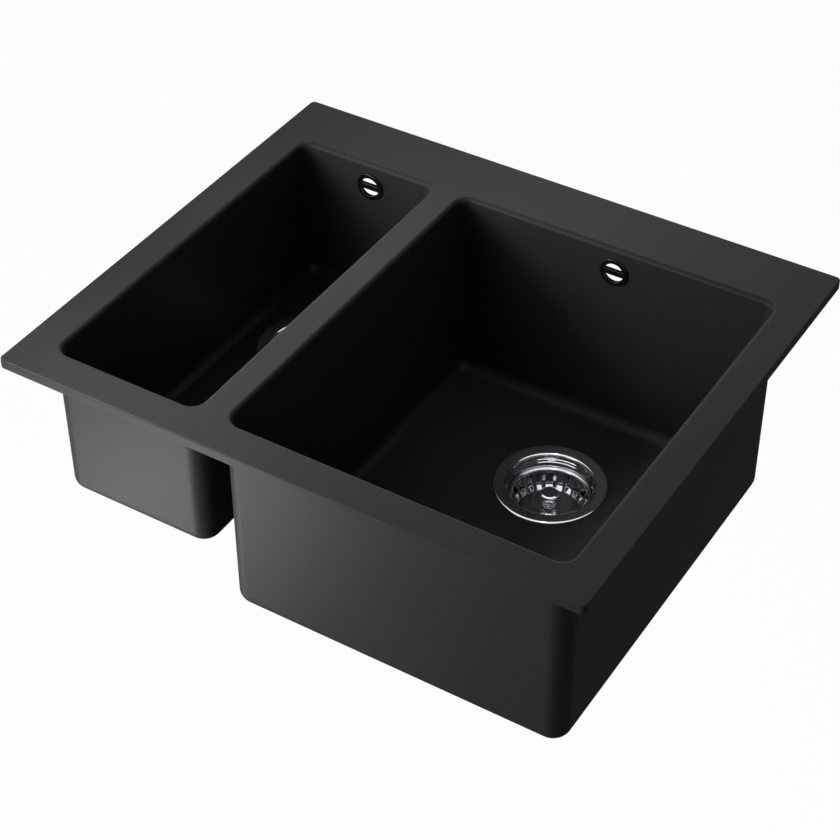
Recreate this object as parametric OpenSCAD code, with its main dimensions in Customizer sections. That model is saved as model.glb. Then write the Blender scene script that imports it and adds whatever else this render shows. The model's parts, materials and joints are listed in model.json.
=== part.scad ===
// Inset double bowl kitchen sink in dark stone composite, with a narrow bowl on the left,
// a wide bowl on the right, a basket strainer waste in each floor and an overflow in each back wall.
// Origin: centre of the rim's outline, on the plane where the rim rests on the worktop.
// +X to the right, +Y towards the tap deck at the back, +Z up. Millimetres.

/* [Rim] */
// Width of the rim, left to right
rim_w = 590; // [560:1:780]
// Depth of the rim, front to back
rim_d = 500; // [440:1:540]
// Thickness of the rim
rim_t = 10; // [8:0.5:16]
// Corner radius of the rim in plan
rim_corner_r = 5; // [2:0.5:12]
// Flat land between the rim's left edge and the narrow bowl
left_land = 36; // [30:0.5:60]
// Flat land between the wide bowl and the rim's right edge
right_land = 34.5; // [30:0.5:60]
// Flat land between the rim's front edge and the bowls
front_land = 36.5; // [30:0.5:60]
// Depth of the tap deck behind the bowls
deck_d = 69.5; // [50:0.5:110]
// Distance of the foam strip's groove from the rim's edge
groove_inset = 6; // [4:0.5:10]
// Width of the foam strip's groove
groove_w = 8; // [5:0.5:10]
// Depth of the foam strip's groove
groove_h = 2; // [1:0.5:4]

/* [Bowls] */
// Inside width of the narrow bowl
side_w = 154; // [140:1:200]
// Width of the ridge between the two bowls
divider_w = 31.5; // [22:0.5:40]
// Depth of the wide bowl, from the rim's top to its floor
main_depth = 209; // [170:1:240]
// Depth of the narrow bowl, from the rim's top to its floor
side_depth = 155.5; // [130:0.5:200]
// Thickness of the bowl walls
wall_t = 5; // [4.5:0.5:10]
// Thickness of the bowl floors
floor_t = 7.5; // [6:0.5:10]
// Corner radius of the bowls in plan, inside
bowl_corner_r = 13; // [13:0.5:30]
// Radius between wall and floor, inside
bowl_fillet_r = 12.5; // [8:0.5:12.5]
// Radius between wall and floor, outside
outer_fillet_r = 12.5; // [8:0.5:18]
// Radius of the rounded edge around each opening
edge_r = 4.5; // [1:0.5:5]
// How far each waste stands to the right of its bowl's middle
waste_shift_x = 4; // [-10:0.5:10]
// How far each waste stands behind its bowl's middle
waste_shift_y = 81.5; // [0:0.5:110]
// Radius of the hole for a waste
waste_hole_r = 45; // [45:0.1:46]

/* [Overflows] */
// Depth of an overflow's centre below the rim's top
overflow_drop = 26.5; // [24:0.5:50]
// How far each overflow stands to the right of its bowl's middle
overflow_shift_x = 2; // [-10:0.5:10]
// Radius of the hole through the wall
overflow_hole_r = 13.5; // [13:0.1:14.5]
// Radius of the seat cut into the back of the wall
overflow_seat_r = 22; // [20:0.5:24]
// Thickness of wall left in front of that seat
overflow_web_t = 2.5; // [2:0.1:4]
// Outer radius of the cover's bezel
bezel_r = 15; // [15:0.1:18]
// Radius of the opening in the bezel
bezel_opening_r = 10.5; // [9.5:0.1:11]
// How far the bezel stands proud of the wall
bezel_h = 2.2; // [1.5:0.1:4]
// Wall of the collar that holds the cover in its hole
collar_wall = 0.8; // [0.6:0.1:1.5]
// Height of the bar across the opening
bar_h = 6.3; // [3:0.1:7]
// Thickness of the bar across the opening
bar_t = 2; // [1:0.1:3]

/* [Waste] */
// Radius of the polished flange on the bowl's floor
flange_r = 57; // [53:0.5:60]
// Height of the flange's rolled edge above the floor
flange_h = 2.2; // [1.8:0.1:3]
// Sheet thickness of the strainer cup
cup_sheet_t = 1.2; // [1:0.1:1.5]
// Radius of the cup's mouth, inside
cup_mouth_r = 43; // [42:0.1:43]
// Radius of the cup below its two rings, inside
cup_wall_r = 41.4; // [41:0.1:41.6]
// Depth of the ledge that carries the basket, below the floor
ledge_depth = 15; // [14:0.5:24]
// Radius of the cup below that ledge, inside
cup_lower_r = 39.6; // [39.2:0.1:40]
// Depth of the cup's bottom, below the floor
cup_depth = 52; // [50:0.5:60]
// Number of drain holes in the cup's bottom
drain_holes = 6; // [5:1:6]
// Radius of a drain hole in the cup's bottom
drain_hole_r = 4.6; // [4:0.1:4.8]
// Outer radius of the outlet spigot, across its thread
spigot_r = 23.9; // [23:0.1:24.5]
// Length of the outlet spigot
spigot_len = 18.5; // [14:0.5:24]
// Thickness of the gasket between flange and floor
gasket_t = 0.8; // [0.5:0.1:1]
// Thickness of the rubber washer under the floor
washer_t = 3; // [2:0.5:5]
// Thickness of the fibre friction ring
friction_t = 1; // [0.5:0.1:1.5]
// Height of the lock nut
lock_nut_h = 12; // [10:1:16]
// Radius of the lock nut's body
lock_nut_r = 52; // [50:0.5:55]
// Radius over the lock nut's lugs
lock_lug_r = 57; // [56:0.5:62]
// Number of lugs on the lock nut
lock_lugs = 8; // [4:1:10]

/* [Basket] */
// Outer radius of the basket's rim
basket_rim_r = 41; // [40.6:0.1:41]
// Radius of the basket's wall at the rim, outside
basket_top_r = 38.4; // [37.5:0.1:38.6]
// Radius of the basket's wall at its floor, outside
basket_floor_r = 37; // [34:0.5:37.2]
// Depth of the basket's floor below the bowl's floor
basket_depth = 38; // [34:0.5:40]
// Sheet thickness of the basket
basket_sheet_t = 0.8; // [0.6:0.1:1]
// Number of slots in the basket's wall
basket_slots = 22; // [16:1:26]
// Width of the rib between two slots
rib_w = 3; // [2:0.1:4]
// Radius of the knob
knob_r = 9.2; // [8:0.1:12]
// Depth of the knob's top below the bowl's floor
knob_depth = 9.7; // [7:0.1:14]
// Radius of the ball on the post
post_ball_r = 6.6; // [5.5:0.1:8]
// Radius of the post's neck
post_neck_r = 3.8; // [3:0.1:4.5]
// Radius of the post's foot
post_foot_r = 8; // [7:0.1:10]
// Radius of the rubber stopper
stopper_r = 27.5; // [26:0.1:28]
// Thickness of the rubber stopper
stopper_t = 4; // [3:0.1:5]
// Radius of the stem below the stopper
stem_r = 3.4; // [3:0.1:3.5]
// Radius of the screw that joins the stem, the stopper and the basket's floor to the post
screw_r = 1.5; // [1.2:0.1:2.5]

/* [Outlet] */
// Outer radius of the tail pipe
tail_r = 19.05; // [18:0.05:20]
// Wall of the tail pipe
tail_wall = 1.5; // [1:0.1:2.5]
// Length of the tail pipe below the coupling nut
tail_free_len = 52.5; // [35:0.5:120]
// Thickness of the tail pipe's flange
tail_flange_t = 2; // [1.5:0.1:3]
// Thickness of the sealing washer in the outlet
outlet_washer_t = 2; // [1.5:0.1:3]
// Wall of the coupling nut
coupling_wall = 3.5; // [3:0.1:5]
// Thickness of the coupling nut's lower lip
coupling_lip_t = 3; // [2.5:0.1:5]
// How far the coupling nut reaches up the spigot
coupling_grip = 8; // [8:0.5:12]
// Number of grip lugs on the coupling nut
coupling_lugs = 6; // [4:1:8]

/* [Hidden] */
$fn = 96;
// Overrun of every cut
over = 1;
// Clearance between a thread and its nut, and between a collar and its hole
thread_gap = 0.1;
// Clearance around a sealing piece
seal_gap = 0.2;
// Clearance between the lifting basket and what it sits in
lift_gap = 0.3;
// Clearance between the cup's thread and the waste hole
hole_slack = 0.7;

// Small sizes of the strainer cup
flange_sheet_t = 0.8;
flange_edge_w = 2.5;
flange_edge_drop = 0.3;
mouth_round_r = 2.5;
ring_1_depth = 4.2;
ring_2_depth = 7.2;
ring_step = 0.8;
thread_end_depth = 30;
thread_runout = 2;
cone_top_depth = 37.5;
seat_outer_r = 30;
seat_inner_r = 24;
hub_r = 7;
hub_h = 4;
spigot_wall = 3;
gasket_in_r = 46;
gasket_out_r = 54;
washer_out_r = 55;
friction_out_r = 54;

// Small sizes of the nuts
lock_lug_w = 14;
coupling_lug_w = 9;
coupling_lug_h = 3;
tail_neck_step = 0.6;

// Small sizes of the basket
basket_bead_r = 0.8;
slot_top_margin = 1.6;
slot_floor_margin = 1;
knob_flat_r = 7.4;
knob_round_h = 1;
knob_edge_h = 1.2;
knob_h = 5.5;
post_ball_z = -27;
post_foot_h = 3;
post_foot_edge_h = 1;
keeper_r = 10;
keeper_t = 1.5;
stem_below = 5;
stem_tip_r = 2;
stem_tip_h = 2;
screw_in_post = 9;

// Bowls in plan
main_w = rim_w - left_land - side_w - divider_w - right_land;
bowl_l = rim_d - front_land - deck_d;
side_x = -rim_w / 2 + left_land + side_w / 2;
main_x = rim_w / 2 - right_land - main_w / 2;
bowl_y = -rim_d / 2 + front_land + bowl_l / 2;
back_wall_y = bowl_y + bowl_l / 2;
main_floor_z = rim_t - main_depth;
side_floor_z = rim_t - side_depth;
waste_y = bowl_y + waste_shift_y;

// Overflow cover
overflow_z = rim_t - overflow_drop;
collar_r = overflow_hole_r - thread_gap;
bezel_shoulder_h = bezel_h / 2;

// Strainer cup, measured from the bowl's floor
cup_r = waste_hole_r - hole_slack;
bead_r = flange_h / 2;
flange_top_z = gasket_t + flange_sheet_t;
seat_z = -(basket_depth + basket_sheet_t + stopper_t + lift_gap);
plate_z = -cup_depth + cup_sheet_t;
spigot_in_r = spigot_r - spigot_wall;
hub_hole_r = stem_r + lift_gap;
drain_ring_r = (hub_r + spigot_in_r) / 2;
spigot_end_z = -cup_depth - spigot_len;

// Stack under the floor
washer_z = -floor_t - washer_t;
friction_z = washer_z - friction_t;
lock_nut_z = friction_z - lock_nut_h;

// Outlet below the spigot
tail_flange_z = spigot_end_z - outlet_washer_t - tail_flange_t;
coupling_top_z = spigot_end_z + coupling_grip;
coupling_z = tail_flange_z - coupling_lip_t;
coupling_r = spigot_r + thread_gap + coupling_wall;
tail_neck_r = tail_r + tail_neck_step;
tail_end_z = coupling_z - tail_free_len;

// Basket
basket_rim_z = -ledge_depth + lift_gap;
basket_flat_z = basket_rim_z + basket_bead_r / 4;
basket_under_z = -basket_depth - basket_sheet_t;
slot_w = 2 * PI * basket_floor_r / basket_slots - rib_w;
stem_end_z = -cup_depth - stem_below;
screw_hole_r = screw_r + thread_gap;
screw_top_z = -basket_depth + screw_in_post;

WASTE_PIECES = [
    "strainer_cup", "flange_gasket", "floor_washer", "friction_ring", "lock_nut",
    "outlet_washer", "tail_pipe", "coupling_nut",
    "basket", "basket_post", "basket_stopper", "basket_stem"
];

// Rectangle with round corners, centred
module round_rect(w, l, r) {
    square([w - 2 * r, l], center = true);
    square([w, l - 2 * r], center = true);
    for (x = [-1, 1])
        for (y = [-1, 1])
            translate([x * (w / 2 - r), y * (l / 2 - r)]) circle(r);
}

// Half of a bowl's section: straight wall, round floor edge and, at the top, a rounded lip
module bowl_section(half, h, fillet, lip) {
    square([half - fillet, h]);
    translate([0, fillet]) square([half, h - fillet]);
    intersection() {
        translate([half - fillet, fillet]) circle(fillet);
        square([half, h]);
    }
    if (lip > 0) {
        square([half, h + over]);
        translate([0, h]) square([half + lip, over]);
        difference() {
            translate([0, h - lip]) square([half + lip, lip]);
            translate([half + lip, h - lip]) circle(lip);
        }
    }
}

// Solid with a bowl's shape, its floor on z = 0
module bowl_form(w, l, h, r, fillet, lip = 0) {
    for (side = [0, 180])
        rotate(side) {
            translate([-w / 2 + r, 0]) rotate([90, 0, 90]) linear_extrude(w - 2 * r)
                bowl_section(l / 2, h, fillet, lip);
            translate([0, l / 2 - r]) rotate([90, 0, 0]) linear_extrude(l - 2 * r)
                bowl_section(w / 2, h, fillet, lip);
            translate([w / 2 - r, l / 2 - r]) rotate_extrude(angle = 90)
                bowl_section(r, h, fillet, lip);
            translate([-w / 2 + r, l / 2 - r]) rotate(90) rotate_extrude(angle = 90)
                bowl_section(r, h, fillet, lip);
        }
}

// One bowl's outside, from under its floor into the rim
module bowl_shell(x, w, floor_z) {
    bottom_z = floor_z - floor_t;
    translate([x, bowl_y, bottom_z])
        bowl_form(w + 2 * wall_t, bowl_l + 2 * wall_t, rim_t / 2 - bottom_z,
                  bowl_corner_r + wall_t, outer_fillet_r);
}

// One bowl's inside, with the rounded edge at the rim's top
module bowl_void(x, w, floor_z) {
    translate([x, bowl_y, floor_z])
        bowl_form(w, bowl_l, rim_t - floor_z, bowl_corner_r, bowl_fillet_r, edge_r);
}

// Holes in one bowl: the waste's in the floor, the overflow's in the back wall
module bowl_holes(x, floor_z) {
    translate([x + waste_shift_x, waste_y, floor_z - floor_t - over])
        cylinder(r = waste_hole_r, h = floor_t + 2 * over);
    translate([x + overflow_shift_x, back_wall_y - over, overflow_z]) rotate([-90, 0, 0])
        cylinder(r = overflow_hole_r, h = wall_t + 2 * over);
    translate([x + overflow_shift_x, back_wall_y + overflow_web_t, overflow_z]) rotate([-90, 0, 0])
        cylinder(r = overflow_seat_r, h = wall_t);
}

module sink_body() {
    color("#2b2c2e") difference() {
        union() {
            linear_extrude(rim_t) round_rect(rim_w, rim_d, rim_corner_r);
            bowl_shell(main_x, main_w, main_floor_z);
            bowl_shell(side_x, side_w, side_floor_z);
        }
        bowl_void(main_x, main_w, main_floor_z);
        bowl_void(side_x, side_w, side_floor_z);
        bowl_holes(main_x, main_floor_z);
        bowl_holes(side_x, side_floor_z);
        foam_ring(-over, groove_h + over, 0);
    }
}

// Ring around the rim's underside, for the groove and the strip that lies in it
module foam_ring(z, h, gap) {
    outer_inset = groove_inset + gap;
    inner_inset = groove_inset + groove_w - gap;
    translate([0, 0, z]) linear_extrude(h) difference() {
        round_rect(rim_w - 2 * outer_inset, rim_d - 2 * outer_inset, rim_corner_r);
        round_rect(rim_w - 2 * inner_inset, rim_d - 2 * inner_inset, rim_corner_r);
    }
}

module rim_foam_strip() {
    color("#4a4a4a") foam_ring(0, groove_h, seal_gap);
}

// Snap-in overflow cover: bezel, collar through the wall and a bar across the opening
module overflow_cover(x) {
    color("#1c1c1e") translate([x + overflow_shift_x, back_wall_y, overflow_z]) rotate([90, 0, 0]) {
        rotate_extrude() {
            translate([bezel_opening_r, 0]) square([bezel_r - bezel_opening_r, bezel_shoulder_h]);
            intersection() {
                translate([(bezel_opening_r + bezel_r) / 2, bezel_shoulder_h])
                    circle((bezel_r - bezel_opening_r) / 2);
                translate([bezel_opening_r, bezel_shoulder_h])
                    square([bezel_r - bezel_opening_r, bezel_h - bezel_shoulder_h]);
            }
            translate([collar_r - collar_wall, -overflow_web_t])
                square([collar_wall, overflow_web_t]);
        }
        intersection() {
            translate([-bezel_r, -bar_h / 2, bezel_shoulder_h - bar_t / 2])
                cube([2 * bezel_r, bar_h, bar_t]);
            cylinder(r = (bezel_r + bezel_opening_r) / 2, h = bezel_h);
        }
    }
}

// Points along an arc, from angle a0 to a1 in equal steps
function arc(x, y, r, a0, a1, steps) =
    [for (i = [0 : steps]) let (a = a0 + (a1 - a0) * i / steps) [x + r * cos(a), y + r * sin(a)]];

// Ring between two radii, from z up to z + h
module ring(r_in, r_out, z, h) {
    translate([0, 0, z]) difference() {
        cylinder(r = r_out, h = h);
        translate([0, 0, -over]) cylinder(r = r_in, h = h + 2 * over);
    }
}

// Puts one waste's piece at its hole, with z = 0 on the bowl's floor
module at_waste(x, floor_z) {
    translate([x + waste_shift_x, waste_y, floor_z]) children();
}

// Section of the polished flange, the stepped cup and the well that the stopper closes
module cup_section() {
    translate([flange_r - bead_r, bead_r]) circle(bead_r);
    inside = concat(
        [[flange_r - bead_r, flange_h], [flange_r - flange_edge_w, flange_h - flange_edge_drop]],
        arc(cup_mouth_r + mouth_round_r, flange_top_z - mouth_round_r, mouth_round_r, 90, 180, 6),
        [[cup_mouth_r, -ring_1_depth],
         [cup_mouth_r - ring_step, -ring_1_depth - ring_step],
         [cup_mouth_r - ring_step, -ring_2_depth],
         [cup_wall_r, -ring_2_depth - ring_step],
         [cup_wall_r, -ledge_depth],
         [cup_lower_r, -ledge_depth],
         [cup_lower_r, -cone_top_depth],
         [seat_outer_r, seat_z],
         [seat_inner_r, seat_z],
         [seat_inner_r, plate_z],
         [0, plate_z]]
    );
    outside = [
        [0, -cup_depth],
        [seat_inner_r + cup_sheet_t, -cup_depth],
        [seat_inner_r + cup_sheet_t, seat_z - cup_sheet_t],
        [seat_outer_r + cup_sheet_t / 2, seat_z - cup_sheet_t],
        [cup_lower_r + cup_sheet_t, -cone_top_depth - cup_sheet_t / 2],
        [cup_lower_r + cup_sheet_t, -thread_end_depth - thread_runout],
        [cup_r, -thread_end_depth],
        [cup_r, gasket_t],
        [flange_r - bead_r, gasket_t]
    ];
    polygon(concat(inside, outside));
}

// Flange, cup, bottom plate with its drain holes and hub, and the threaded outlet spigot
module strainer_cup() {
    color("#c9ccd1") difference() {
        union() {
            rotate_extrude() cup_section();
            translate([0, 0, plate_z - cup_sheet_t / 2]) cylinder(r = hub_r, h = hub_h);
            ring(spigot_in_r, spigot_r, spigot_end_z, spigot_len + cup_sheet_t / 2);
        }
        translate([0, 0, -cup_depth - over])
            cylinder(r = hub_hole_r, h = cup_sheet_t + hub_h + 2 * over);
        for (i = [0 : drain_holes - 1])
            rotate(i * 360 / drain_holes) translate([drain_ring_r, 0, -cup_depth - over])
                cylinder(r = drain_hole_r, h = cup_sheet_t + 2 * over);
    }
}

module flange_gasket() {
    color("#2f2f2f") ring(gasket_in_r, gasket_out_r, 0, gasket_t);
}

module floor_washer() {
    color("#262626") ring(cup_r + seal_gap, washer_out_r, washer_z, washer_t);
}

module friction_ring() {
    color("#b79c6b") ring(cup_r + seal_gap, friction_out_r, friction_z, friction_t);
}

// Outline of a round nut with grip lugs, their ends on one circle
module nut_outline(r, lugs, lug_w, lug_r) {
    circle(r);
    intersection() {
        circle(lug_r);
        for (i = [0 : lugs - 1])
            rotate(i * 360 / lugs) translate([r / 2, -lug_w / 2]) square([lug_r, lug_w]);
    }
}

// Large ring nut with grip lugs, drawn up against the friction ring
module lock_nut() {
    color("#e6e4dd") translate([0, 0, lock_nut_z]) linear_extrude(lock_nut_h) difference() {
        nut_outline(lock_nut_r, lock_lugs, lock_lug_w, lock_lug_r);
        circle(cup_r + thread_gap);
    }
}

module outlet_washer() {
    color("#d9d9d4")
        ring(spigot_in_r, spigot_r - seal_gap, spigot_end_z - outlet_washer_t, outlet_washer_t);
}

// Flanged pipe that the trap's socket slides over
module tail_pipe() {
    color("#c9ccd1") difference() {
        union() {
            translate([0, 0, tail_flange_z]) cylinder(r = spigot_r - seal_gap, h = tail_flange_t);
            translate([0, 0, coupling_z]) cylinder(r = tail_neck_r, h = coupling_lip_t);
            translate([0, 0, tail_end_z]) cylinder(r = tail_r, h = tail_free_len);
        }
        translate([0, 0, tail_end_z - over])
            cylinder(r = tail_r - tail_wall, h = tail_flange_z + tail_flange_t - tail_end_z + 2 * over);
    }
}

// Slip nut that pulls the tail pipe's flange against the spigot
module coupling_nut() {
    color("#e6e4dd") difference() {
        translate([0, 0, coupling_z]) linear_extrude(coupling_top_z - coupling_z)
            nut_outline(coupling_r, coupling_lugs, coupling_lug_w, coupling_r + coupling_lug_h);
        translate([0, 0, tail_flange_z])
            cylinder(r = spigot_r + thread_gap, h = coupling_top_z - tail_flange_z + over);
        translate([0, 0, coupling_z - over])
            cylinder(r = tail_neck_r + seal_gap, h = coupling_lip_t + 2 * over);
    }
}

// Lift-out basket: rolled rim, slotted wall and plain floor with a hole for the stem's screw
module basket() {
    color("#c9ccd1") difference() {
        rotate_extrude() polygon(concat(
            [[basket_top_r - basket_sheet_t, basket_flat_z + basket_sheet_t],
             [basket_rim_r - basket_bead_r, basket_flat_z + basket_sheet_t]],
            arc(basket_rim_r - basket_bead_r, basket_rim_z + basket_bead_r, basket_bead_r, 90, -90, 6),
            [[basket_rim_r - basket_bead_r, basket_flat_z],
             [basket_top_r, basket_flat_z],
             [basket_floor_r, basket_under_z],
             [screw_hole_r, basket_under_z],
             [screw_hole_r, -basket_depth],
             [basket_floor_r - basket_sheet_t, -basket_depth]]
        ));
        for (i = [0 : basket_slots - 1])
            rotate((i + 1 / 2) * 360 / basket_slots)
                translate([basket_floor_r / 2 + over, -slot_w / 2, -basket_depth + slot_floor_margin])
                    cube([basket_floor_r / 2 + over, slot_w,
                          basket_flat_z - slot_top_margin + basket_depth - slot_floor_margin]);
    }
}

// Turned post: knob, neck, ball, neck and foot, with a blind hole for the stem's screw
module basket_post() {
    knob_z = -knob_depth;
    foot_z = -basket_depth;
    color("#d4d6da") difference() {
        rotate_extrude() {
            polygon([
                [0, foot_z],
                [post_foot_r, foot_z],
                [post_foot_r, foot_z + post_foot_edge_h],
                [post_neck_r, foot_z + post_foot_h],
                [post_neck_r, knob_z - knob_h],
                [knob_r, knob_z - knob_round_h - knob_edge_h],
                [knob_r, knob_z - knob_round_h],
                [knob_flat_r, knob_z],
                [0, knob_z]
            ]);
            intersection() {
                translate([0, post_ball_z]) circle(post_ball_r);
                translate([0, post_ball_z - post_ball_r]) square([post_ball_r, 2 * post_ball_r]);
            }
        }
        translate([0, 0, foot_z - over])
            cylinder(r = screw_hole_r, h = screw_top_z + thread_gap - foot_z + over);
    }
}

module basket_stopper() {
    color("#1d1d1d") ring(screw_hole_r, stopper_r, basket_under_z - stopper_t, stopper_t);
}

// Stem with the disc that holds the stopper up, the screw above it and a tip that the hub guides
module basket_stem() {
    keeper_z = basket_under_z - stopper_t - keeper_t;
    color("#c9ccd1") rotate_extrude() polygon([
        [0, screw_top_z],
        [screw_r, screw_top_z],
        [screw_r, keeper_z + keeper_t],
        [keeper_r, keeper_z + keeper_t],
        [keeper_r, keeper_z],
        [stem_r, keeper_z],
        [stem_r, stem_end_z + stem_tip_h],
        [stem_tip_r, stem_end_z],
        [0, stem_end_z]
    ]);
}

// Every piece of one waste by name
module waste_piece(name) {
    if (name == "strainer_cup") strainer_cup();
    if (name == "flange_gasket") flange_gasket();
    if (name == "floor_washer") floor_washer();
    if (name == "friction_ring") friction_ring();
    if (name == "lock_nut") lock_nut();
    if (name == "outlet_washer") outlet_washer();
    if (name == "tail_pipe") tail_pipe();
    if (name == "coupling_nut") coupling_nut();
    if (name == "basket") basket();
    if (name == "basket_post") basket_post();
    if (name == "basket_stopper") basket_stopper();
    if (name == "basket_stem") basket_stem();
}

sink_body();
rim_foam_strip();
overflow_cover(main_x);  // main_overflow_cover
overflow_cover(side_x);  // side_overflow_cover
for (name = WASTE_PIECES) {
    at_waste(main_x, main_floor_z) waste_piece(name);
    at_waste(side_x, side_floor_z) waste_piece(name);
}
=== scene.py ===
# Inset double bowl kitchen sink in dark stone composite, with its basket wastes and overflow covers
import bmesh
import bpy
import json
import math
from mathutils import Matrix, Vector


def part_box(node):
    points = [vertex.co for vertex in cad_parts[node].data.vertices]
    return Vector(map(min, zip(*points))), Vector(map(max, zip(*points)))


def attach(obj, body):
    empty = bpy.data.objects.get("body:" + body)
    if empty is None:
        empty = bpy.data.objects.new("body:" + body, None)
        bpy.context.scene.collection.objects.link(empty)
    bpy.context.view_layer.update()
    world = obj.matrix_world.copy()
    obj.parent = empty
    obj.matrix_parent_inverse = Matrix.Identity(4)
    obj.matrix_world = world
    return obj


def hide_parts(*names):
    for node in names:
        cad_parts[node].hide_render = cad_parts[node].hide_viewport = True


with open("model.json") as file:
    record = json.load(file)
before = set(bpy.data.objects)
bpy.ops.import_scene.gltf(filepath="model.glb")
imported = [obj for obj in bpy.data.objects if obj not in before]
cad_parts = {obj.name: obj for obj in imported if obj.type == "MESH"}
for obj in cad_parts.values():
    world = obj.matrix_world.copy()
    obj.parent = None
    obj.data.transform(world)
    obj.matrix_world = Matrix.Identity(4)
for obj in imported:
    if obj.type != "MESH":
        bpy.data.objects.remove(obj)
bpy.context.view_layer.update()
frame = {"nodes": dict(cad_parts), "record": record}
mm = 0.001
weld = 1e-6  # points closer than this are one
print("frame loaded:", len(frame["nodes"]), "nodes")


# Modelling helpers

def onlyThis(piece):
    bpy.ops.object.select_all(action="DESELECT")
    piece.select_set(True)
    bpy.context.view_layer.objects.active = piece


def startEdit(piece):
    onlyThis(piece)
    bpy.ops.object.mode_set(mode="EDIT")


def stopEdit():
    bpy.ops.object.mode_set(mode="OBJECT")


def settle(piece):  # the piece's place goes into its mesh
    onlyThis(piece)
    bpy.ops.object.transform_apply(location=True, rotation=True, scale=True)


def pick(piece, kind, test):
    bpy.ops.mesh.select_mode(type=kind)
    bpy.ops.mesh.select_all(action="DESELECT")
    mesh = bmesh.from_edit_mesh(piece.data)
    parts = {"VERT": mesh.verts, "EDGE": mesh.edges, "FACE": mesh.faces}[kind]
    for part in parts:
        if test(part):
            part.select_set(True)
    bmesh.update_edit_mesh(piece.data)


def middle(part):  # middle of an edge or a face
    return sum((v.co for v in part.verts), Vector()) / len(part.verts)


def near(a, b):
    return abs(a - b) < weld


def runsAlong(edge, axis):  # the edge keeps its place on both other axes
    start, end = (vertex.co for vertex in edge.verts)
    return all(near(start[other], end[other]) for other in range(3) if other != axis)


def addCube(name, centre, size):
    bpy.ops.object.select_all(action="DESELECT")
    bpy.ops.mesh.primitive_cube_add(size=1, location=centre)
    piece = bpy.context.active_object
    piece.name = name
    piece.dimensions = size
    settle(piece)
    return piece


def addCylinder(name, centre, radius, height, steps, turn=(0, 0, 0)):
    bpy.ops.object.select_all(action="DESELECT")
    bpy.ops.mesh.primitive_cylinder_add(vertices=steps, radius=radius, depth=height,
                                        location=centre, rotation=turn)
    piece = bpy.context.active_object
    piece.name = name
    settle(piece)
    return piece


def applyModifier(piece, kind, **settings):
    onlyThis(piece)
    made = piece.modifiers.new(kind.title(), kind)
    for key, value in settings.items():
        setattr(made, key, value)
    bpy.ops.object.modifier_apply(modifier=made.name)


def combine(piece, other, operation):
    applyModifier(piece, "BOOLEAN", object=other, operation=operation, solver="EXACT")
    bpy.data.objects.remove(other)


def stepAt(face, around):  # place of a face among the steps of one turn round the upright axis
    place = middle(face)
    return math.degrees(math.atan2(place.y, place.x)) % 360 * around / 360


def finishShading(piece, angle=40):
    onlyThis(piece)
    bpy.ops.object.shade_smooth_by_angle(angle=math.radians(angle))
    applyModifier(piece, "WEIGHTED_NORMAL", keep_sharp=True, weight=50)


def cleanUp(piece):
    startEdit(piece)
    bpy.ops.mesh.select_all(action="SELECT")
    bpy.ops.mesh.remove_doubles(threshold=weld)
    bpy.ops.mesh.normals_make_consistent(inside=False)
    stopEdit()


def copyTo(piece, name, move):
    onlyThis(piece)
    bpy.ops.object.duplicate()
    other = bpy.context.active_object
    other.name = name
    bpy.ops.transform.translate(value=move)
    settle(other)
    return other


def dress(piece, material, body, slot, *nodes):
    piece.data.materials.clear()
    piece.data.materials.append(material)
    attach(piece, body)
    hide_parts(*nodes)


def roundedCorners(corners, steps=4):
    # Outline through corners of (x, z, rounding), each rounding drawn as an arc
    outline = []
    for index, (x, z, rounding) in enumerate(corners):
        here = Vector((x, z))
        if rounding == 0:
            outline.append((x, z))
            continue
        back = Vector(corners[index - 1][:2]) - here
        ahead = Vector(corners[(index + 1) % len(corners)][:2]) - here
        half = back.angle(ahead) / 2
        centre = here + (back.normalized() + ahead.normalized()).normalized() * rounding / math.sin(half)
        start = here + back.normalized() * rounding / math.tan(half) - centre
        sweep = math.pi - 2 * half
        if back.x * ahead.y - back.y * ahead.x > 0:
            sweep = -sweep
        for step in range(steps + 1):
            angle = math.atan2(start.y, start.x) + sweep * step / steps
            outline.append((centre.x + rounding * math.cos(angle), centre.y + rounding * math.sin(angle)))
    return outline


def turned(name, outline, steps, closed=True):
    # A vertex drawn along the outline (radius, height) and spun round the upright axis
    bpy.ops.object.select_all(action="DESELECT")
    bpy.ops.mesh.primitive_plane_add(size=mm)
    piece = bpy.context.active_object
    piece.name = name
    bpy.ops.object.mode_set(mode="EDIT")
    bpy.ops.mesh.select_mode(type="VERT")
    bpy.ops.mesh.select_all(action="SELECT")
    bpy.ops.mesh.merge(type="CENTER")
    bpy.ops.transform.translate(value=(outline[0][0], 0, outline[0][1]))
    for (x0, z0), (x1, z1) in zip(outline, outline[1:]):
        bpy.ops.mesh.extrude_vertices_move(TRANSFORM_OT_translate={"value": (x1 - x0, 0, z1 - z0)})
    if closed:
        ends = [Vector((x, 0, z)) for x, z in (outline[0], outline[-1])]
        pick(piece, "VERT", lambda v: min((v.co - end).length for end in ends) < weld)
        bpy.ops.mesh.edge_face_add()
    bpy.ops.mesh.select_all(action="SELECT")
    bpy.ops.mesh.spin(steps=steps, angle=2 * math.pi, center=(0, 0, 0), axis=(0, 0, 1))
    stopEdit()
    cleanUp(piece)
    return piece


# Sink body

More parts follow.
